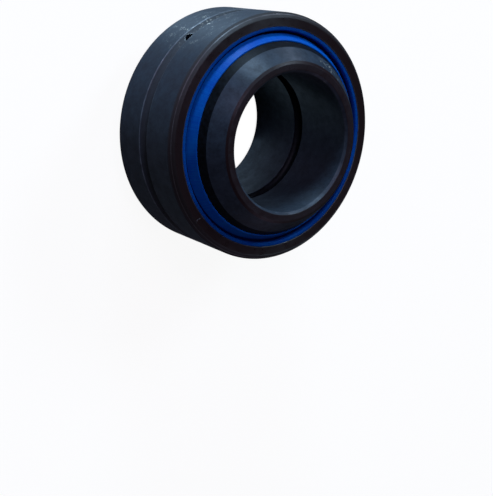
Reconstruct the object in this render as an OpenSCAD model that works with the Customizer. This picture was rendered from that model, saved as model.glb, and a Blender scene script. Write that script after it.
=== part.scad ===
// Spherical plain bearing: a ball-shaped inner ring that swivels and tilts in a
// fractured outer ring, closed by a lip seal at each end.
// The bore runs along Z and the origin is the centre of the ball.

/* [Inner ring] */
// Bore diameter
bore_d = 50; // [40:1:60]
// Width of the inner ring from end face to end face
inner_width = 56; // [50:1:70]
// Radial width of each end face, from the bore to the ball
face_land = 3.566; // [3:0.001:6]
// Chamfer at each mouth of the bore
bore_chamfer = 0.9; // [0.4:0.1:1.2]
// Width that the edge break takes off each end face where it meets the ball
ball_edge = 0.6; // [0.2:0.1:1]
// Width of the grease groove in the bore
bore_groove_width = 4.8; // [4:0.1:7]
// Depth of the grease groove in the bore
bore_groove_depth = 2.2; // [0.8:0.1:2.4]
// Diameter of the grease holes from the bore to the ball
bore_hole_d = 4; // [2:0.5:4]
// Direction of the first grease hole in the inner ring
bore_hole_angle = 90; // [0:5:355]

/* [Outer ring] */
// Width of the outer ring
outer_width = 36; // [32:1:40]
// Wall of the outer ring at mid-width, outside the ball
outer_wall = 5; // [4.5:0.1:8]
// Chamfer at each outer edge
outer_chamfer = 1.6; // [0.6:0.1:2]
// Width of the grease groove around the outside
oil_groove_width = 5; // [4:0.1:7]
// Depth of the grease groove around the outside
oil_groove_depth = 1.4; // [0.6:0.1:2]
// Diameter of the grease holes through the outer ring
oil_hole_d = 4; // [2:0.5:4]
// Direction of the first grease hole in the outer ring
oil_hole_angle = 134; // [0:1:180]
// Width of the grease groove in the raceway
race_groove_width = 4; // [2:0.1:6]
// Depth of the grease groove in the raceway
race_groove_depth = 0.8; // [0.4:0.1:1.2]
// Direction of the fracture that lets the ring open over the ball
fracture_angle = 226; // [190:1:300]
// Gap between the two fractured faces
fracture_gap = 0.12; // [0.05:0.01:0.3]
// Sideways wander of the fracture
fracture_waver = 0.35; // [0:0.05:0.8]

/* [Seals] */
// Radial width of each seal recess at the outer ring's face
seal_band = 4.2; // [4:0.1:4.8]
// Depth of each seal recess below the outer ring's face
seal_depth = 4.5; // [4:0.1:6]
// Undercut of the recess that holds the seal's bead
bead_reach = 0.8; // [0.4:0.1:1]
// Height of the seal's bead
bead_height = 1.8; // [1.2:0.1:2.4]
// Width of the seal's flush rim
rim_width = 1.25; // [0.8:0.05:1.6]
// Depth of the rim below the outer ring's face
rim_drop = 0.1; // [0:0.05:0.3]
// Width of the moat between the rim and the lip
moat_width = 1; // [0.7:0.05:1.2]
// Depth of the moat
moat_depth = 1.9; // [1.2:0.1:2.4]
// Inward lean of the moat's outer wall
moat_lean = 0.4; // [0:0.05:0.6]
// Height of the lip's tip above the outer ring's face
lip_rise = 1.5; // [0.8:0.1:2.2]
// Width of the lip's tip
lip_tip = 0.5; // [0.3:0.05:0.8]
// Depth of the grease pocket between the outer and the inner lip
pocket_depth = 0.35; // [0.2:0.05:0.5]
// Distance from the ring's face down to the grease pocket
pocket_top = 0.4; // [0.2:0.1:1]
// Height of the grease pocket
pocket_height = 2.8; // [2:0.1:3]

/* [Fits] */
// Radial play between the ball and the raceway
ball_play = 0.05; // [0.03:0.01:0.1]
// Play between the lips and the ball
lip_play = 0.05; // [0.03:0.01:0.1]
// Play between each seal and its recess
seal_play = 0.05; // [0.02:0.01:0.1]

/* [Hidden] */
$fn = 180;
// Overshoot of a cut past the surface that it opens
over = 1;

// Inner ring: the ball passes through the outer edge of both end faces
bore_r = bore_d / 2;
land_r = bore_r + face_land;
inner_half = inner_width / 2;
ball_r = norm([land_r, inner_half]);
// The edge break lies halfway between the slopes of the end face and of the ball
edge_slope = tan(asin(land_r / ball_r) / 2);

// Outer ring
outer_r = ball_r + outer_wall;
outer_half = outer_width / 2;
race_r = ball_r + ball_play;
race_mouth_r = sqrt(pow(race_r, 2) - pow(outer_half, 2));

// Seal recess and the upper seal's section
seat_r = race_mouth_r + seal_band;
seat_floor = outer_half - seal_depth;
undercut_r = seat_r + bead_reach;
undercut_top = seat_floor + bead_height;
rim_r = seat_r - seal_play;
rim_inner_r = rim_r - rim_width;
rim_top = outer_half - rim_drop;
moat_floor = outer_half - moat_depth;
lip_root_r = rim_inner_r - moat_width;
lip_bore_r = ball_r + lip_play;
tip_top = outer_half + lip_rise;
tip_r = sqrt(pow(lip_bore_r, 2) - pow(tip_top, 2)) + lip_tip;

// Fracture: a crooked line of short straight steps from the raceway to the outside
fracture_steps = 9;
fracture_turn = 140;
fracture_start = race_mouth_r - over;
fracture_end = outer_r + over;

// Round groove turned into a cylindrical or spherical wall at mid-width.
// It goes inwards from an outside wall, or outwards from an inside one.
module turned_groove(wall_r, width, depth, outside) {
    arc_r = (pow(width / 2, 2) + pow(depth, 2)) / (2 * depth);
    offset_r = arc_r - depth;
    rotate_extrude()
        translate([outside ? wall_r + offset_r : wall_r - offset_r, 0])
            circle(r = arc_r);
}

// Two opposite grease holes, drilled from inside one radius to beyond another
module grease_holes(hole_d, angle, from_r, to_r) {
    for (turn = [0, 180])
        rotate([0, 90, angle + turn])
            translate([0, 0, from_r])
                cylinder(d = hole_d, h = to_r - from_r);
}

// Both ends of something drawn for the upper end
module both_ends() {
    children();
    mirror([0, 0, 1]) children();
}

// Recess with an undercut that one seal snaps into
module seal_recess() {
    rotate_extrude()
        polygon([
            [0, seat_floor],
            [undercut_r, seat_floor],
            [undercut_r, undercut_top],
            [seat_r, undercut_top],
            [seat_r, outer_half + over],
            [0, outer_half + over],
        ]);
}

function fracture_point(i, side) = [
    fracture_start + (fracture_end - fracture_start) * i / fracture_steps,
    fracture_waver * sin(fracture_turn * i) + side * fracture_gap / 2,
];

// Crooked slit where the hardened ring was split on one side
module fracture() {
    rotate([0, 0, fracture_angle])
        linear_extrude(height = outer_width + 2 * over, center = true)
            polygon([
                for (i = [0 : fracture_steps]) fracture_point(i, -1),
                for (i = [fracture_steps : -1 : 0]) fracture_point(i, 1),
            ]);
}

// Outer ring: one turned ring with a hollow raceway, fractured at one place
module outer_ring() {
    color("#263038")
        difference() {
            rotate_extrude()
                polygon([
                    [0, -outer_half],
                    [outer_r - outer_chamfer, -outer_half],
                    [outer_r, outer_chamfer - outer_half],
                    [outer_r, outer_half - outer_chamfer],
                    [outer_r - outer_chamfer, outer_half],
                    [0, outer_half],
                ]);
            sphere(r = race_r);
            both_ends() seal_recess();
            turned_groove(outer_r, oil_groove_width, oil_groove_depth, true);
            turned_groove(race_r, race_groove_width, race_groove_depth, false);
            grease_holes(oil_hole_d, oil_hole_angle, race_r - over, outer_r + over);
            fracture();
        }
}

// Inner ring: one turned piece, a ball cut off flat at both ends and bored through
module inner_ring() {
    color("#2c343c")
        difference() {
            intersection() {
                sphere(r = ball_r);
                rotate_extrude()
                    polygon([
                        [0, -inner_half],
                        [land_r - ball_edge, -inner_half],
                        [ball_r + over, edge_slope * (ball_r + over - land_r + ball_edge) - inner_half],
                        [ball_r + over, inner_half - edge_slope * (ball_r + over - land_r + ball_edge)],
                        [land_r - ball_edge, inner_half],
                        [0, inner_half],
                    ]);
            }
            rotate_extrude()
                polygon([
                    [0, -inner_half - over],
                    [bore_r + bore_chamfer + over, -inner_half - over],
                    [bore_r, bore_chamfer - inner_half],
                    [bore_r, inner_half - bore_chamfer],
                    [bore_r + bore_chamfer + over, inner_half + over],
                    [0, inner_half + over],
                ]);
            turned_groove(bore_r, bore_groove_width, bore_groove_depth, false);
            grease_holes(bore_hole_d, bore_hole_angle, bore_r - over, ball_r + over);
        }
}

// One lip seal, drawn at the upper end: a bead in the undercut, a flush rim, a moat
// and a cone that rises to its lip, with a second lip behind a grease pocket
module lip_seal() {
    color("#1450b4")
        difference() {
            rotate_extrude()
                polygon([
                    [race_mouth_r - seal_band, seat_floor + seal_play],
                    [undercut_r - seal_play, seat_floor + seal_play],
                    [undercut_r - seal_play, undercut_top - seal_play],
                    [rim_r, undercut_top - seal_play],
                    [rim_r, rim_top],
                    [rim_inner_r, rim_top],
                    [rim_inner_r - moat_lean, moat_floor],
                    [lip_root_r, moat_floor],
                    [tip_r, tip_top],
                    [race_mouth_r - seal_band, tip_top],
                ]);
            sphere(r = lip_bore_r);
            intersection() {
                sphere(r = lip_bore_r + pocket_depth);
                translate([0, 0, outer_half - pocket_top - pocket_height])
                    cylinder(r = seat_r, h = pocket_height);
            }
        }
}

module upper_seal() {
    lip_seal();
}

module lower_seal() {
    mirror([0, 0, 1]) lip_seal();
}

outer_ring();
inner_ring();
upper_seal();
lower_seal();
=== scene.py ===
"""The looks of a spherical plain bearing: phosphated steel rings and blue lip seals."""

# The frame: the four solids of the bearing, each riding on its body.
# Its box is kept, and its lowest point sets the floor.
import math

import bmesh
import bpy
from mathutils import Matrix, Vector


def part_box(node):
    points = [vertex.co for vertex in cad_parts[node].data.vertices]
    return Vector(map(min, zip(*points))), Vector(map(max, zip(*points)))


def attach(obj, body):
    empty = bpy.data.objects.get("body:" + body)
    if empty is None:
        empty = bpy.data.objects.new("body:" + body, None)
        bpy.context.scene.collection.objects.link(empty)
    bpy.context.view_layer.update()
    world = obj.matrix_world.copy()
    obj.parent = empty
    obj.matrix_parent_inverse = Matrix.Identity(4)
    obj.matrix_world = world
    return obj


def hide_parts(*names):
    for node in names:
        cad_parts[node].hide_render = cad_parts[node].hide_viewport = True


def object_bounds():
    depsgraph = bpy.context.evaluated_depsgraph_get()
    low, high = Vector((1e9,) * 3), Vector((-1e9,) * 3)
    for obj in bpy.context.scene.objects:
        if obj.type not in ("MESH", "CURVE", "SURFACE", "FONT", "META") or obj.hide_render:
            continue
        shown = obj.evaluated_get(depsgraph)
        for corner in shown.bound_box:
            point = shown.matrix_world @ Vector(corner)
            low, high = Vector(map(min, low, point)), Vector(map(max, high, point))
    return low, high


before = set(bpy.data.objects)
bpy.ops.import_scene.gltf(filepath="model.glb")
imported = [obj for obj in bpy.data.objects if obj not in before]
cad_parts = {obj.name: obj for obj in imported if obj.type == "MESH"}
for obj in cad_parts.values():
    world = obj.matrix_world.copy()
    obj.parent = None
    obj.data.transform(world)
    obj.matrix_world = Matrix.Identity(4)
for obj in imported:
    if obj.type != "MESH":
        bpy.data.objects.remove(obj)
cad_low, cad_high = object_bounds()
MM = 0.001

# Inner ring: a ball of hardened bearing steel, cut off flat at both ends and bored.
# It is turned and ground in one piece, then phosphated black and oiled, and every
# edge is broken. A grease groove with two holes runs round the middle of its bore.
INNER_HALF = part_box("inner_ring")[1].z / MM
BORE_R = 25.0
BALL_R = 40.0
LAND_R = math.sqrt(BALL_R**2 - INNER_HALF**2)
BORE_CHAMFER = 0.9
BALL_EDGE = 0.6
BORE_GROOVE_HALF = 2.4
BORE_GROOVE_DEPTH = 2.2
BORE_HOLE_D = 4.0
BORE_HOLE_ANGLE = 90.0
EDGE_ROUND = 0.35
GROOVE_EDGE_ROUND = 0.2
BORE_EDGE_TONE = 0.2
MOUTH_TONE = 0.1
BALL_EDGE_TONE = 0.15
TONE_FADE = 0.18
# The band of the ball next to the lips, up to this height, gets the black film as the lips' painted shade.
LIP_SHADE_HALF = 22.3
# Specks of painted glint gather around this place on the ball.
BALL_GLINT_CENTRE = (12.5, 27.0, 26.5)
BALL_GLINT_REACH = 6.0
ROUNDING_STEPS = 4
ROUNDING_SHARE = 0.45
LONGEST_STRETCH = 1.2
GROOVE_STEPS = 14
BALL_STEPS = 72
TURNED_COLUMNS = 288
DRILL_SIDES = 48
DRILL_OVER = 2.0
SHARP_ANGLE = 40.0


def arc(centre_r, centre_z, radius, start, end, steps, tone=0.0):
    """Corners along an arc of the outline, from one angle to another, in degrees from the radius."""
    angles = [math.radians(start + (end - start) * i / steps) for i in range(steps + 1)]
    return [(centre_r + radius * math.cos(a), centre_z + radius * math.sin(a), 0.0, tone) for a in angles]


def groove(wall_r, half, depth, inward, edge_tone=0.0, floor_tone=0.0):
    """A round-bottomed groove turned into a wall at mid-width, from its lower to its upper edge."""
    radius = (half**2 + depth**2) / (2 * depth)
    spread = math.degrees(math.asin(half / radius))
    if inward:
        centre_r, start, end = wall_r + radius - depth, 180 + spread, 180 - spread
    else:
        centre_r, start, end = wall_r - radius + depth, -spread, spread
    hollow = arc(centre_r, 0.0, radius, start, end, GROOVE_STEPS, floor_tone)
    low_edge, high_edge = ((wall_r, z, GROOVE_EDGE_ROUND, edge_tone) for z in (-half, half))
    return [low_edge, *hollow[1:-1], high_edge]


def rounded(corners):
    """The outline's points as (radius, height, tone): corners rounded and long stretches split.
    A corner is (radius, height, rounding, tone). A tone above 0 is worn bright on some corners
    and a painted highlight on others, and one below 0 is painted shade: it runs on to a next
    corner of its kind, and else fades out within a short way."""
    points = []
    for i, (r, z, rounding, tone) in enumerate(corners):
        corner = Vector((r, z))
        if not rounding:
            points.append((r, z, tone))
            continue
        back = Vector(corners[i - 1][:2]) - corner
        ahead = Vector(corners[(i + 1) % len(corners)][:2]) - corner
        reach = rounding * math.tan((math.pi - back.angle(ahead)) / 2)
        start = corner + back.normalized() * min(reach, ROUNDING_SHARE * back.length)
        end = corner + ahead.normalized() * min(reach, ROUNDING_SHARE * ahead.length)
        for step in range(ROUNDING_STEPS + 1):
            t = step / ROUNDING_STEPS
            p = start.lerp(corner, t).lerp(corner.lerp(end, t), t)
            points.append((p.x, p.y, tone))
    split = []
    for (r, z, tone), (next_r, next_z, next_tone) in zip(points, points[1:] + points[:1]):
        length = math.hypot(next_r - r, next_z - z)
        count = max(1, math.ceil(length / LONGEST_STRETCH))
        stops = {i / count for i in range(count)}
        if length > 2 * TONE_FADE and (tone or next_tone):
            stops |= {TONE_FADE / length, 1 - TONE_FADE / length}
        runs_on = tone * next_tone > 0
        for t in sorted(stops):
            between = tone + (next_tone - tone) * t if runs_on else 0.0
            split.append((r + (next_r - r) * t, z + (next_z - z) * t, between if t else tone))
    return split


def turned(name, points, angles, closed=True, shift=None, bare=None, second_material_at=None):
    """A solid turned about Z: the outline at each angle, in radians, with the tones of its edges.
    An open one has ends. Shift moves a point along the turn, in millimetres, bare gives each
    column a least tone, and the last argument says where the second material lies, the black film of grease
    and painted shade."""
    solid = bmesh.new()
    edge_tone = solid.verts.layers.float.new("edge_tone")
    on_second_material = [bool(second_material_at) and second_material_at(r, z) for r, z, tone in points]
    rings = []
    for column, angle in enumerate(angles):
        ring = []
        for r, z, tone in points:
            place = angle + (shift(column, r, z) / r if shift else 0.0)
            vert = solid.verts.new((r * math.cos(place) * MM, r * math.sin(place) * MM, z * MM))
            vert[edge_tone] = tone if tone < 0 else max(tone, bare[column] if bare else 0.0)
            ring.append(vert)
        rings.append(ring)
    for near, far in zip(rings, rings[1:] + rings[:1] if closed else rings[1:]):
        for k in range(len(points)):
            wall = solid.faces.new((near[k - 1], near[k], far[k], far[k - 1]))
            wall.material_index = int(on_second_material[k - 1] and on_second_material[k])
    if not closed:
        ends = [solid.faces.new(rings[0]), solid.faces.new(rings[-1])]
        bmesh.ops.triangulate(solid, faces=ends, ngon_method="EAR_CLIP")
    bmesh.ops.recalc_face_normals(solid, faces=solid.faces)
    mesh = bpy.data.meshes.new(name)
    solid.to_mesh(mesh)
    solid.free()
    made = bpy.data.objects.new(name, mesh)
    bpy.context.scene.collection.objects.link(made)
    return made


def drill(ring, hole_d, angle, from_r, to_r, lining):
    """Two opposite radial grease holes, cut right through the ring's wall and lined with a material."""
    depth = to_r - from_r + 2 * DRILL_OVER
    bits = bmesh.new()
    for turn in (angle, angle + 180.0):
        aim = Matrix.Rotation(math.radians(turn), 4, "Z") @ Matrix.Rotation(math.pi / 2, 4, "Y")
        bmesh.ops.create_cone(
            bits,
            cap_ends=True,
            segments=DRILL_SIDES,
            radius1=hole_d / 2 * MM,
            radius2=hole_d / 2 * MM,
            depth=depth * MM,
            matrix=aim @ Matrix.Translation((0, 0, (from_r + to_r) / 2 * MM)),
        )
    mesh = bpy.data.meshes.new("drill")
    bits.to_mesh(mesh)
    bits.free()
    mesh.materials.append(lining)
    cutter = bpy.data.objects.new("drill", mesh)
    bpy.context.scene.collection.objects.link(cutter)
    cut = ring.modifiers.new("drill", "BOOLEAN")
    cut.object = cutter
    cut.solver = "EXACT"
    cut.material_mode = "TRANSFER"
    depsgraph = bpy.context.evaluated_depsgraph_get()
    drilled = bpy.data.meshes.new_from_object(ring.evaluated_get(depsgraph))
    ring.modifiers.clear()
    ring.data = drilled
    bpy.data.objects.remove(cutter)


def smooth(piece):
    """Shades a turned piece smoothly, with flat faces kept flat and undressed edges sharp."""
    piece.data.shade_smooth()
    piece.data.set_sharp_from_angle(angle=math.radians(SHARP_ANGLE))
    weighted = piece.modifiers.new("flat_faces", "WEIGHTED_NORMAL")
    weighted.keep_sharp = True


def linear(colour):
    """An sRGB hex colour as linear red, green, blue and alpha."""
    channels = [int(colour[i : i + 2], 16) / 255 for i in (1, 3, 5)]
    return [c / 12.92 if c <= 0.04045 else ((c + 0.055) / 1.055) ** 2.4 for c in channels] + [1.0]


def add(tree, kind, inputs=None, **settings):
    """Adds a shader node with its settings, and links or sets its inputs."""
    made = tree.nodes.new("ShaderNode" + kind)
    for name, value in settings.items():
        setattr(made, name, value)
    for name, value in (inputs or {}).items():
        if isinstance(value, bpy.types.NodeSocket):
            tree.links.new(value, made.inputs[name])
        else:
            made.inputs[name].default_value = value
    return made


def bare_material(name):
    """A new material without nodes, and the tree that they go into."""
    material = bpy.data.materials.new(name)
    material.use_nodes = True
    material.node_tree.nodes.clear()
    return material, material.node_tree


# Manganese phosphate on hardened steel is a dark skin of fine crystals that holds oil:
# blue-black on the rounds, where the grinding lines spread the gloss into a band, and browner
# on the end faces, where the brown is a painted warm reflection. It is bright along worn edges,
# with painted highlight lines along some edges and specks of painted glint around one place,
# and painted shade makes some edges and the groove's floor black and dull.
OIL_SMEAR = 3.5
MOTTLE = 0.8
MOTTLE_SHARE = 0.4
# The size and strength of the specks of painted glint.
PAINTED_GLINT_SPECK = 0.65
PAINTED_GLINT_STRENGTH = 1.5
CRYSTAL = 0.45  # real crystals are about 0.02 mm, drawn coarser so that they show
GRINDING_LINE = 0.3  # real lines are finer than 0.1 mm, drawn coarser so that they show
GRINDING_LINE_LENGTH = 40.0
GRINDING_SHARE = 0.6
SKIN_RELIEF = 0.02
END_ZONE = 14.0
END_ZONE_FADE = 1.0
FACE_FADE = 0.14
DRY_ROUGHNESS = 0.54
OILY_ROUGHNESS = 0.44
FACE_SLEEKNESS = -0.18
FACE_SHARPNESS = 12.0
PAINTED_SHADE_ROUGHNESS = 0.5
GLOSS_SPREAD = 0.75
ACROSS_THE_LINES = 0.25
# The black of painted shade; the film of old grease has it too.
SHADE_AND_GREASE_BLACK = "#07090c"
# The colour of the painted glints.
PAINTED_GLINT = "#dcdccc"
COLOUR_A, COLOUR_B, MIXED = 6, 7, 2  # sockets of a Mix node that mixes colours


def phosphated_steel(name, dry, oily, face_with_warm_reflection, bright, specular, face_tilt, glint_centre, glint_reach):
    """The finish of one ring: the colours of its rounds where dry and oily, of its end faces,
    whose brown is a painted warm reflection, and of its worn edges and painted highlight lines,
    how strongly it reflects, how upright a surface is to count as an end face, and where its
    specks of painted glint gather and how far around."""
    material, tree = bare_material(name)
    place = add(tree, "TexCoord").outputs
    spot = place["Object"]
    smear = add(
        tree,
        "TexNoise",
        {"Vector": spot, "Scale": 1 / (OIL_SMEAR * MM), "Detail": 6.0, "Roughness": 0.65},
    ).outputs[0]
    mottle = add(tree, "TexNoise", {"Vector": spot, "Scale": 1 / (MOTTLE * MM), "Detail": 3.0})
    uneven = add(
        tree, "Math", {0: mottle.outputs[0], 1: MOTTLE_SHARE, 2: smear}, operation="MULTIPLY_ADD"
    )
    oil = add(tree, "MapRange", {"Value": uneven.outputs[0], "From Min": 0.4, "From Max": 1.0})
    rounds = add(
        tree,
        "Mix",
        {"Factor": oil.outputs[0], COLOUR_A: linear(dry), COLOUR_B: linear(oily)},
        data_type="RGBA",
    )

    # Specks of painted glint, in patches, fading out with the distance from one place.
    grain = add(tree, "TexNoise", {"Vector": spot, "Scale": 1 / (PAINTED_GLINT_SPECK * MM), "Detail": 1.0})
    sharp = add(tree, "MapRange", {"Value": grain.outputs[0], "From Min": 0.54, "From Max": 0.66})
    patch = add(tree, "MapRange", {"Value": smear, "From Min": 0.5, "From Max": 0.62})
    away = add(tree, "VectorMath", {0: spot, 1: [v * MM for v in glint_centre]}, operation="DISTANCE")
    near = add(
        tree,
        "MapRange",
        {
            "Value": away.outputs["Value"],
            "From Max": glint_reach * MM,
            "To Min": PAINTED_GLINT_STRENGTH,
            "To Max": 0.0,
        },
    )
    glint_area = add(tree, "Math", {0: patch.outputs[0], 1: near.outputs[0]}, operation="MULTIPLY")
    glint_specks = add(tree, "Math", {0: sharp.outputs[0], 1: glint_area.outputs[0]}, operation="MULTIPLY")
    with_glint_specks = add(
        tree,
        "Mix",
        {"Factor": glint_specks.outputs[0], COLOUR_A: rounds.outputs[MIXED], COLOUR_B: linear(PAINTED_GLINT)},
        data_type="RGBA",
    )

    apart = add(tree, "SeparateXYZ", {"Vector": spot}).outputs
    facing = add(tree, "SeparateXYZ", {"Vector": place["Normal"]})
    upright = add(tree, "Math", {0: facing.outputs["Z"]}, operation="ABSOLUTE").outputs[0]
    flatness = add(
        tree, "MapRange", {"Value": upright, "From Min": face_tilt - FACE_FADE, "From Max": face_tilt}
    )
    height = add(tree, "Math", {0: apart["Z"]}, operation="ABSOLUTE")
    at_end = add(
        tree,
        "MapRange",
        {
            "Value": height.outputs[0],
            "From Min": END_ZONE * MM,
            "From Max": (END_ZONE + END_ZONE_FADE) * MM,
        },
    )
    on_face = add(tree, "Math", {0: flatness.outputs[0], 1: at_end.outputs[0]}, operation="MULTIPLY")
    # End faces take their own dark colour, whose brown tone is a painted warm reflection.
    skin = add(
        tree,
        "Mix",
        {"Factor": on_face.outputs[0], COLOUR_A: with_glint_specks.outputs[MIXED], COLOUR_B: linear(face_with_warm_reflection)},
        data_type="RGBA",
    )

    # A tone below 0 mixes in painted shade, black and rougher; one above 0 mixes in the bright colour of
    # worn edges and painted highlight lines.
    tone = add(tree, "Attribute", attribute_name="edge_tone").outputs["Fac"]
    painted_shade = add(tree, "MapRange", {"Value": tone, "From Min": 0.0, "From Max": -1.0}).outputs[0]
    with_painted_shade = add(
        tree,
        "Mix",
        {"Factor": painted_shade, COLOUR_A: skin.outputs[MIXED], COLOUR_B: linear(SHADE_AND_GREASE_BLACK)},
        data_type="RGBA",
    )
    shine = add(tree, "MapRange", {"Value": tone})
    wear_and_highlight_patches = add(
        tree,
        "MapRange",
        {"Value": smear, "From Min": 0.3, "From Max": 0.7, "To Min": 0.05, "To Max": 0.8},
    )
    wear_and_painted_highlight = add(tree, "Math", {0: shine.outputs[0], 1: wear_and_highlight_patches.outputs[0]}, operation="MULTIPLY")
    colour = add(
        tree,
        "Mix",
        {"Factor": wear_and_painted_highlight.outputs[0], COLOUR_A: with_painted_shade.outputs[MIXED], COLOUR_B: linear(bright)},
        data_type="RGBA",
    )

    oiled = add(
        tree,
        "MapRange",
        {
            "Value": smear,
            "From Min": 0.35,
            "From Max": 0.65,
            "To Min": DRY_ROUGHNESS,
            "To Max": OILY_ROUGHNESS,
        },
    )
    level = add(tree, "Math", {0: upright, 1: FACE_SHARPNESS}, operation="POWER")
    sleek = add(
        tree,
        "Math",
        {0: level.outputs[0], 1: FACE_SLEEKNESS, 2: oiled.outputs[0]},
        operation="MULTIPLY_ADD",
    )
    rough = add(
        tree, "Math", {0: painted_shade, 1: PAINTED_SHADE_ROUGHNESS, 2: sleek.outputs[0]}, operation="MULTIPLY_ADD"
    )

    flat = add(tree, "CombineXYZ", {"X": apart["X"], "Y": apart["Y"]})
    radius = add(tree, "VectorMath", {0: flat.outputs[0]}, operation="LENGTH")
    turn = add(tree, "Math", {0: apart["Y"], 1: apart["X"]}, operation="ARCTAN2")
    stretch = BALL_R * MM * GRINDING_LINE / GRINDING_LINE_LENGTH
    travel = add(tree, "Math", {0: turn.outputs[0], 1: stretch}, operation="MULTIPLY")
    spun = add(
        tree, "CombineXYZ", {"X": radius.outputs["Value"], "Y": apart["Z"], "Z": travel.outputs[0]}
    )
    lines = add(
        tree, "TexNoise", {"Vector": spun.outputs[0], "Scale": 1 / (GRINDING_LINE * MM), "Detail": 2.0}
    )
    crystal = add(tree, "TexNoise", {"Vector": spot, "Scale": 1 / (CRYSTAL * MM), "Detail": 3.0})
    relief = add(
        tree,
        "Math",
        {0: lines.outputs[0], 1: GRINDING_SHARE, 2: crystal.outputs[0]},
        operation="MULTIPLY_ADD",
    )
    bump = add(
        tree, "Bump", {"Height": relief.outputs[0], "Strength": 0.25, "Distance": SKIN_RELIEF * MM}
    )
    round_lines = add(tree, "Tangent", direction_type="RADIAL", axis="Z")
    shader = add(
        tree,
        "BsdfPrincipled",
        {
            "Base Color": colour.outputs[MIXED],
            "Specular IOR Level": specular,
            "Roughness": rough.outputs[0],
            "Anisotropic": GLOSS_SPREAD,
            "Anisotropic Rotation": ACROSS_THE_LINES,
            "Tangent": round_lines.outputs[0],
            "Normal": bump.outputs[0],
        },
    )
    add(tree, "OutputMaterial", {"Surface": shader.outputs[0]})
    return material


# Old grease is a black film of oil, soap and worn phosphate, smooth but uneven. It lies in the
# groove of the bore and in the holes, where its black is also painted shade, and the same film
# is the painted shade of the lips on a band of the ball. It takes the gloss off the steel.
FILM_RIPPLE = 1.5
FILM_RELIEF = 0.05


def grease_and_painted_shade():
    """A black film of grease and painted shade, thicker and thinner in soft ripples."""
    material, tree = bare_material("grease_and_painted_shade_film")
    place = add(tree, "TexCoord").outputs["Object"]
    ripple = add(tree, "TexNoise", {"Vector": place, "Scale": 1 / (FILM_RIPPLE * MM), "Detail": 3.0})
    thin = add(tree, "MapRange", {"Value": ripple.outputs[0], "From Min": 0.35, "From Max": 0.7})
    colour = add(
        tree,
        "Mix",
        {"Factor": thin.outputs[0], COLOUR_A: linear(SHADE_AND_GREASE_BLACK), COLOUR_B: linear("#11161c")},
        data_type="RGBA",
    )
    rough = add(tree, "MapRange", {"Value": ripple.outputs[0], "To Min": 0.35, "To Max": 0.55})
    bump = add(
        tree, "Bump", {"Height": ripple.outputs[0], "Strength": 0.3, "Distance": FILM_RELIEF * MM}
    )
    shader = add(
        tree,
        "BsdfPrincipled",
        {
            "Base Color": colour.outputs[MIXED],
            "Specular IOR Level": 0.08,
            "Roughness": rough.outputs[0],
            "Normal": bump.outputs[0],
        },
    )
    add(tree, "OutputMaterial", {"Surface": shader.outputs[0]})
    return material


def lip_shade_or_groove_grease(r, z):
    """The black film lies on the band of the ball next to the lips, as their painted shade, and fills the
    bore's groove as grease that is also painted shade.
    """
    in_lip_shade = r > LAND_R and abs(z) < LIP_SHADE_HALF
    return in_lip_shade or (r < LAND_R and abs(z) < BORE_GROOVE_HALF)


edge_slope = math.tan(math.asin(LAND_R / BALL_R) / 2)
ball_end_z = INNER_HALF - edge_slope * 2 * BALL_EDGE
ball_end = math.degrees(math.asin(ball_end_z / BALL_R))
inner_outline = rounded(
    [
        (BORE_R, -INNER_HALF + BORE_CHAMFER, EDGE_ROUND, BORE_EDGE_TONE),
        *groove(BORE_R, BORE_GROOVE_HALF, BORE_GROOVE_DEPTH, inward=False),
        (BORE_R, INNER_HALF - BORE_CHAMFER, EDGE_ROUND, BORE_EDGE_TONE),
        (BORE_R + BORE_CHAMFER, INNER_HALF, EDGE_ROUND, MOUTH_TONE),
        (LAND_R - BALL_EDGE, INNER_HALF, EDGE_ROUND, BALL_EDGE_TONE),
        *arc(0.0, 0.0, BALL_R, ball_end, -ball_end, BALL_STEPS),
        (LAND_R - BALL_EDGE, -INNER_HALF, EDGE_ROUND, BALL_EDGE_TONE),
        (BORE_R + BORE_CHAMFER, -INNER_HALF, EDGE_ROUND, MOUTH_TONE),
    ]
)
whole_turn = [math.tau * i / TURNED_COLUMNS for i in range(TURNED_COLUMNS)]

inner = turned("ground_inner_ring", inner_outline, whole_turn, second_material_at=lip_shade_or_groove_grease)
grease_and_shade_film = grease_and_painted_shade()
inner.data.materials.append(
    phosphated_steel(
        "phosphated_ground_steel",
        dry="#181e26",
        oily="#333f4b",
        face_with_warm_reflection="#221719",
        bright="#6a7076",
        specular=0.28,
        face_tilt=0.86,
        glint_centre=BALL_GLINT_CENTRE,
        glint_reach=BALL_GLINT_REACH,
    )
)
inner.data.materials.append(grease_and_shade_film)
drill(inner, BORE_HOLE_D, BORE_HOLE_ANGLE, BORE_R, BALL_R, grease_and_shade_film)
smooth(inner)
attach(inner, "inner")
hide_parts("inner_ring")

# Outer ring: hardened bearing steel, turned with a hollow spherical raceway, then
# fractured at one place so that it opens over the ball. Its outside is ground to size,
# with a round grease groove and two holes, and each end has a recess for a seal.
OUTER_R = 45.0
OUTER_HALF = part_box("outer_ring")[1].z / MM
OUTER_CHAMFER = 1.6
RACE_R = 40.05
RACE_MOUTH_R = math.sqrt(RACE_R**2 - OUTER_HALF**2)
SEAL_BAND = 4.2
SEAL_DEPTH = 4.5
BEAD_REACH = 0.8
BEAD_HEIGHT = 1.8
SEAT_R = RACE_MOUTH_R + SEAL_BAND
SEAT_FLOOR = OUTER_HALF - SEAL_DEPTH
UNDERCUT_R = SEAT_R + BEAD_REACH
UNDERCUT_TOP = SEAT_FLOOR + BEAD_HEIGHT
SEAT_ROUND = 0.15
FACE_ROUND = 0.8
OUTER_ROUND = 0.5
SEAT_TONE = 0.2
# The chamfer is darkened with painted shade.
CHAMFER_PAINTED_SHADE = -0.5
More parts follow.
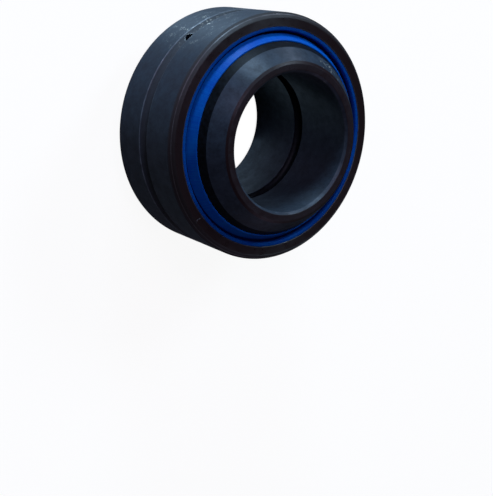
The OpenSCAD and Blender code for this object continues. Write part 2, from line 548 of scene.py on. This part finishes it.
# A thin painted highlight line runs along the chamfer, this far in from its outer edge.
CHAMFER_HIGHLIGHT_INSET = 0.8
CHAMFER_HIGHLIGHT_FADE = 0.2
CHAMFER_PAINTED_HIGHLIGHT = 0.35
# Painted shade on the rounding of the outer edge.
OUTER_EDGE_PAINTED_SHADE = -0.6
OIL_GROOVE_HALF = 2.5
OIL_GROOVE_DEPTH = 1.4
# The groove's edges are worn bright and also carry a painted highlight line; its floor is darkened with
# painted shade.
OIL_GROOVE_EDGE_WEAR_AND_HIGHLIGHT = 0.4
OIL_GROOVE_PAINTED_SHADE = -0.6
OIL_HOLE_D = 4.0
OIL_HOLE_ANGLE = 134.0
# Specks of painted glint gather around this place on the outside, near a grease hole.
OUTER_GLINT_ANGLE = 125.0
OUTER_GLINT_REACH = 17.0
RACE_STEPS = 30
FRACTURE_ANGLE = 226.0
FRACTURE_GAP = 0.12
FRACTURE_TONE = 0.25
FRACTURE_COLUMNS = (0.0, 0.16, 0.4, 0.9)  # distances from the fracture
FRACTURE_FADE_COLUMNS = 8
# The waves of its crooked line: the swing, the radians for each millimetre along the width
# and through the wall, and the start
FRACTURE_WAVES = (
    (0.3, 0.45, 0.0, 0.6),
    (0.14, 1.7, 0.0, 0.0),
    (0.22, 0.0, 1.9, 0.0),
    (0.1, 0.0, 4.3, 0.0),
)


def end_outline(sign):
    """The recess, face and chamfer of one end, from the raceway to the outside; the chamfer has painted
    shade and a painted highlight line.
    """

    def on_chamfer(inset, tone):
        """A corner on the chamfer, a way in from its outer edge."""
        return (OUTER_R - inset, sign * (OUTER_HALF - OUTER_CHAMFER + inset), 0.0, tone)

    return [
        (math.sqrt(RACE_R**2 - SEAT_FLOOR**2), sign * SEAT_FLOOR, 0.0, 0.0),
        (UNDERCUT_R, sign * SEAT_FLOOR, 0.0, 0.0),
        (UNDERCUT_R, sign * UNDERCUT_TOP, 0.0, 0.0),
        (SEAT_R, sign * UNDERCUT_TOP, 0.0, 0.0),
        (SEAT_R, sign * OUTER_HALF, SEAT_ROUND, SEAT_TONE),
        (OUTER_R - OUTER_CHAMFER, sign * OUTER_HALF, FACE_ROUND, CHAMFER_PAINTED_SHADE),
        # Painted shade on the chamfer, a thin painted highlight line, then painted shade to the outer edge.
        on_chamfer(CHAMFER_HIGHLIGHT_INSET + CHAMFER_HIGHLIGHT_FADE, CHAMFER_PAINTED_SHADE),
        on_chamfer(CHAMFER_HIGHLIGHT_INSET, CHAMFER_PAINTED_HIGHLIGHT),
        on_chamfer(CHAMFER_HIGHLIGHT_INSET - CHAMFER_HIGHLIGHT_FADE, OUTER_EDGE_PAINTED_SHADE),
        (OUTER_R, sign * (OUTER_HALF - OUTER_CHAMFER), OUTER_ROUND, OUTER_EDGE_PAINTED_SHADE),
    ]


fracture_turn = math.radians(FRACTURE_ANGLE)
beside = [mm / OUTER_R for mm in FRACTURE_COLUMNS]
even = [math.tau * i / TURNED_COLUMNS for i in range(2, TURNED_COLUMNS - 1)]
split_turn = [fracture_turn + a for a in beside + even + [math.tau - b for b in reversed(beside)]]
bare = [FRACTURE_TONE] + [0.0] * (len(split_turn) - 2) + [FRACTURE_TONE]


def wander(column, r, z):
    """How far a column beside the fracture follows its crooked line, in millimetres."""
    steps = min(column, len(split_turn) - 1 - column)
    fade = max(0.0, 1 - steps / FRACTURE_FADE_COLUMNS)
    course = 0.0
    for swing, along, through, start in FRACTURE_WAVES:
        course += swing * math.sin(along * z + through * r + start)
    gap = FRACTURE_GAP / 2 * (1 if column == 0 else -1 if steps == 0 else 0)
    return fade * course + gap


race_end = math.degrees(math.asin(SEAT_FLOOR / RACE_R))
oil_groove = groove(
    OUTER_R,
    OIL_GROOVE_HALF,
    OIL_GROOVE_DEPTH,
    inward=True,
    edge_tone=OIL_GROOVE_EDGE_WEAR_AND_HIGHLIGHT,
    floor_tone=OIL_GROOVE_PAINTED_SHADE,
)
outer_outline = rounded(
    [
        *end_outline(1),
        *reversed(oil_groove),
        *reversed(end_outline(-1)),
        *arc(0.0, 0.0, RACE_R, -race_end, race_end, RACE_STEPS)[1:-1],
    ]
)

outer = turned("fractured_outer_ring", outer_outline, split_turn, closed=False, shift=wander, bare=bare)
glint_turn = math.radians(OUTER_GLINT_ANGLE)
outer.data.materials.append(
    phosphated_steel(
        "phosphated_turned_steel",
        dry="#1c242d",
        oily="#384652",
        face_with_warm_reflection="#221719",
        bright="#a8b4be",
        specular=0.85,
        face_tilt=0.68,
        glint_centre=(OUTER_R * math.cos(glint_turn), OUTER_R * math.sin(glint_turn), 0.0),
        glint_reach=OUTER_GLINT_REACH,
    )
)
outer.data.materials.append(grease_and_shade_film)
drill(outer, OIL_HOLE_D, OIL_HOLE_ANGLE, RACE_R, OUTER_R, grease_and_shade_film)
smooth(outer)
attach(outer, "outer")
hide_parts("outer_ring")

# Seals: two rings moulded in blue thermoplastic elastomer, snapped into the recesses of
# the outer ring. Each has a flush rim, a narrow moat and a cone that rises to its lip,
# which wipes the ball, with a second lip behind a grease pocket.
SEAL_PLAY = 0.05
SEAL_FLOOR = SEAT_FLOOR + SEAL_PLAY
BEAD_R = UNDERCUT_R - SEAL_PLAY
BEAD_TOP = UNDERCUT_TOP - SEAL_PLAY
RIM_R = SEAT_R - SEAL_PLAY
RIM_DROP = 0.1
RIM_WIDTH = 1.25
RIM_TOP = OUTER_HALF - RIM_DROP
RIM_INNER_R = RIM_R - RIM_WIDTH
MOAT_DEPTH = 1.9
MOAT_WIDTH = 1.0
MOAT_LEAN = 0.4
MOAT_FLOOR = OUTER_HALF - MOAT_DEPTH
LIP_ROOT_R = RIM_INNER_R - MOAT_WIDTH
LIP_PLAY = 0.05
LIP_RISE = 1.5
LIP_TIP = 0.5
LIP_BORE_R = BALL_R + LIP_PLAY
TIP_TOP = OUTER_HALF + LIP_RISE
TIP_BORE_R = math.sqrt(LIP_BORE_R**2 - TIP_TOP**2)
POCKET_DEPTH = 0.35
POCKET_DROP = 0.4
POCKET_HEIGHT = 2.8
POCKET_R = LIP_BORE_R + POCKET_DEPTH
POCKET_TOP = OUTER_HALF - POCKET_DROP
POCKET_FLOOR = POCKET_TOP - POCKET_HEIGHT
BEAD_ROUND = 0.2
RIM_ROUND = 0.3
RIM_INNER_ROUND = 0.45
MOAT_ROUND = 0.15
TIP_ROUND = 0.22
LIP_ROUND = 0.12
# Painted shade: a little on the rim, and deep in the moat.
RIM_PAINTED_SHADE = -0.3
MOAT_PAINTED_SHADE = -1.0
LIP_STEPS = 6
INNER_LIP_STEPS = 4


def on_sphere(radius, low, high, steps, sign):
    """Outline corners on a sphere about the origin, from one height to another."""
    start, end = (math.degrees(math.asin(z / radius)) for z in (low, high))
    return arc(0.0, 0.0, radius, sign * start, sign * end, steps)


# Moulded elastomer is a saturated blue all through, with a low satin gloss. Its cone keeps
# faint radial streaks from the mould, and painted shade darkens its moat and dulls its rim.
MOULD_STREAK = 0.5
COLOUR_CLOUD = 5.0
STREAK_RELIEF = 0.05


def elastomer():
    """Satin blue elastomer with streaks from the mould, and painted shade where the edges are marked so."""
    material, tree = bare_material("moulded_blue_elastomer")
    place = add(tree, "TexCoord").outputs["Object"]
    apart = add(tree, "SeparateXYZ", {"Vector": place}).outputs
    turn = add(tree, "Math", {0: apart["Y"], 1: apart["X"]}, operation="ARCTAN2")
    streaks = add(
        tree,
        "TexNoise",
        {"W": turn.outputs[0], "Scale": LIP_ROOT_R / MOULD_STREAK, "Detail": 3.0},
        noise_dimensions="1D",
    ).outputs[0]
    cloud = add(tree, "TexNoise", {"Vector": place, "Scale": 1 / (COLOUR_CLOUD * MM), "Detail": 3.0})
    blend = add(tree, "Math", {0: streaks, 1: cloud.outputs[0]}, operation="ADD")
    shade = add(tree, "MapRange", {"Value": blend.outputs[0], "From Min": 0.8, "From Max": 1.2})
    blue = add(
        tree,
        "Mix",
        {"Factor": shade.outputs[0], COLOUR_A: linear("#0246a0"), COLOUR_B: linear("#0458aa")},
        data_type="RGBA",
    )
    # Painted shade, where the edges are marked with a tone below 0.
    tone = add(tree, "Attribute", attribute_name="edge_tone")
    painted_shade = add(tree, "MapRange", {"Value": tone.outputs["Fac"], "From Min": 0.0, "From Max": -1.0})
    with_painted_shade = add(
        tree,
        "Mix",
        {"Factor": painted_shade.outputs[0], COLOUR_A: blue.outputs[MIXED], COLOUR_B: linear("#010634")},
        data_type="RGBA",
    )
    rough = add(tree, "MapRange", {"Value": streaks, "To Min": 0.24, "To Max": 0.56})
    bump = add(tree, "Bump", {"Height": streaks, "Strength": 0.5, "Distance": STREAK_RELIEF * MM})
    shader = add(
        tree,
        "BsdfPrincipled",
        {
            "Base Color": with_painted_shade.outputs[MIXED],
            "Specular IOR Level": 0.08,
            "Roughness": rough.outputs[0],
            "Normal": bump.outputs[0],
        },
    )
    add(tree, "OutputMaterial", {"Surface": shader.outputs[0]})
    return material


blue_elastomer = elastomer()
for seal_name, node, sign in (("upper_lip_seal", "upper_seal", 1), ("lower_lip_seal", "lower_seal", -1)):
    seal_outline = rounded(
        [
            (BEAD_R, sign * SEAL_FLOOR, BEAD_ROUND, 0.0),
            (BEAD_R, sign * BEAD_TOP, BEAD_ROUND, 0.0),
            (RIM_R, sign * BEAD_TOP, 0.0, 0.0),
            (RIM_R, sign * RIM_TOP, RIM_ROUND, RIM_PAINTED_SHADE),
            (RIM_INNER_R, sign * RIM_TOP, RIM_INNER_ROUND, RIM_PAINTED_SHADE),
            (RIM_INNER_R - MOAT_LEAN, sign * MOAT_FLOOR, MOAT_ROUND, MOAT_PAINTED_SHADE),
            (LIP_ROOT_R, sign * MOAT_FLOOR, MOAT_ROUND, MOAT_PAINTED_SHADE),
            (TIP_BORE_R + LIP_TIP, sign * TIP_TOP, TIP_ROUND, 0.0),
            (TIP_BORE_R, sign * TIP_TOP, LIP_ROUND, 0.0),
            *on_sphere(LIP_BORE_R, TIP_TOP, POCKET_TOP, LIP_STEPS, sign)[1:],
            *on_sphere(POCKET_R, POCKET_TOP, POCKET_FLOOR, LIP_STEPS, sign),
            *on_sphere(LIP_BORE_R, POCKET_FLOOR, SEAL_FLOOR, INNER_LIP_STEPS, sign),
        ]
    )
    seal = turned(seal_name, seal_outline, whole_turn)
    smooth(seal)
    seal.data.materials.append(blue_elastomer)
    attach(seal, "seals")
    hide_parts(node)

# Floor: a wide plain sheet of matt paper that the bearing stands on, on its lower end face.
# It is white to the camera and takes a soft shadow. To the steel it is dim, so that the rings
# stay dark, apart from a small bluish patch that lights the lower back of the bore.
FLOOR_SIZE = 12.0
FLOOR_WHITE = 0.93
BORE_WHITE = 1.0
PATCH_PLACE = (16.0 * MM, -13.0 * MM, 0.0)
PATCH_R = 11.0
PATCH_LIGHT = 1.6
DIM_LIGHT = 0.03
bpy.ops.mesh.primitive_plane_add(size=FLOOR_SIZE, location=(0, 0, cad_low.z))
floor = bpy.context.object
floor.name = "floor"
paper, sheet = bare_material("matt_white_paper")
rays = add(sheet, "LightPath").outputs
spot = add(sheet, "TexCoord").outputs["Object"]
out = add(sheet, "VectorMath", {0: spot}, operation="LENGTH")
under = add(sheet, "Math", {0: out.outputs["Value"], 1: BORE_R * MM}, operation="LESS_THAN")
white = add(sheet, "MapRange", {"Value": under.outputs[0], "To Min": FLOOR_WHITE, "To Max": BORE_WHITE})
off = add(sheet, "VectorMath", {0: spot, 1: PATCH_PLACE}, operation="DISTANCE")
patch = add(sheet, "Math", {0: off.outputs["Value"], 1: PATCH_R * MM}, operation="LESS_THAN")
to_steel = add(sheet, "Math", {0: patch.outputs[0], 1: PATCH_LIGHT, 2: DIM_LIGHT}, operation="MULTIPLY_ADD")
mirrored = add(sheet, "Math", {0: rays["Is Glossy Ray"], 1: to_steel.outputs[0]}, operation="MULTIPLY")
direct = add(sheet, "Math", {0: rays["Is Camera Ray"], 1: mirrored.outputs[0]}, operation="MAXIMUM")
any_ray = add(sheet, "Math", {0: direct.outputs[0], 1: rays["Is Transmission Ray"]}, operation="MAXIMUM")
strength = add(sheet, "Math", {0: any_ray.outputs[0], 1: white.outputs[0]}, operation="MULTIPLY")
tint = add(
    sheet,
    "Mix",
    {"Factor": rays["Is Glossy Ray"], COLOUR_A: linear("#ffffff"), COLOUR_B: linear("#a4c4de")},
    data_type="RGBA",
)
glow = add(sheet, "Emission", {"Color": tint.outputs[MIXED], "Strength": strength.outputs[0]})
matt = add(sheet, "BsdfDiffuse", {"Color": linear("#606060")})
lit_sheet = add(sheet, "AddShader", {0: matt.outputs[0], 1: glow.outputs[0]})
add(sheet, "OutputMaterial", {"Surface": lit_sheet.outputs[0]})
floor.data.materials.append(paper)

# Light: five soft round lamps in a dim white room. A key at the right, a strong lamp beyond the
# top of the picture that draws the band of gloss on the outer ring, a small one for glints, and
# two violet fills, at the left and below the picture.
ROOM_LEVEL = 0.07
WALL_HEIGHT = 0.1
CEILING_HEIGHT = 0.7
CEILING_SHARE = 0.2


def lamp(name, place, size, watts, colour):
    """A round soft lamp of a size at a place, in metres, that the camera does not see."""
    data = bpy.data.lights.new(name, "POINT")
    data.shadow_soft_size = size / 2
    data.energy = watts
    data.color = linear(colour)[:3]
    made = bpy.data.objects.new(name, data)
    made.location = place
    made.visible_camera = False
    bpy.context.scene.collection.objects.link(made)


lamp("soft_key", place=(0.7, 1.2, 1.0), size=0.52, watts=42.0, colour="#cce8ff")
lamp("side_light", place=(-0.34, 1.67, 0.24), size=0.5, watts=116.0, colour="#bce0ff")
lamp("glint", place=(0.9, 1.6, 0.12), size=0.24, watts=16.0, colour="#dce8ff")
lamp("left_fill", place=(-0.75, 0.8, 1.4), size=0.8, watts=36.0, colour="#e6d6ff")
lamp("back_fill", place=(0.9, -1.7, 0.9), size=0.8, watts=10.0, colour="#e6d2ff")
world = bpy.data.worlds.new("studio")
bpy.context.scene.world = world
world.use_nodes = True
room = world.node_tree
room.nodes.clear()
sky = add(room, "SeparateXYZ", {"Vector": add(room, "TexCoord").outputs["Generated"]})
level = add(
    room,
    "MapRange",
    {
        "Value": sky.outputs["Z"],
        "From Min": WALL_HEIGHT,
        "From Max": CEILING_HEIGHT,
        "To Min": ROOM_LEVEL,
        "To Max": ROOM_LEVEL * CEILING_SHARE,
    },
)
rays = add(room, "LightPath").outputs
seen = add(room, "Math", {0: rays["Is Camera Ray"], 1: rays["Is Transmission Ray"]}, operation="MAXIMUM")
shown = add(room, "Math", {0: seen.outputs[0], 1: level.outputs[0]}, operation="MAXIMUM")
ambient = add(room, "Background", {"Color": linear("#ffffff"), "Strength": shown.outputs[0]})
add(room, "OutputWorld", {"Surface": ambient.outputs[0]})

# Camera: the photograph's viewpoint, found by fitting the ring edges. It looks down on
# the standing bearing, rolled so that the bearing lies in the picture as it was taken.
VIEW_YAW = 37.4
VIEW_PITCH = 13.65
CAMERA_DISTANCE = 0.3781
CAMERA_DROP = 0.0435
NEAREST = 0.01
SENSOR_WIDTH = 36.0
FOCAL_PX = 1007.5
PICTURE_PX = 496
lens = bpy.data.cameras.new("camera")
lens.sensor_width = SENSOR_WIDTH
lens.lens = FOCAL_PX * SENSOR_WIDTH / PICTURE_PX
lens.clip_start = NEAREST
camera = bpy.data.objects.new("camera", lens)
bpy.context.scene.collection.objects.link(camera)
pitch = Matrix.Rotation(-math.radians(VIEW_PITCH), 4, "X")
yaw = Matrix.Rotation(-math.radians(VIEW_YAW), 4, "Y")
camera.matrix_world = pitch @ yaw @ Matrix.Translation((0.0, -CAMERA_DROP, CAMERA_DISTANCE))
bpy.context.scene.camera = camera
bpy.context.scene.view_settings.view_transform = "Standard"
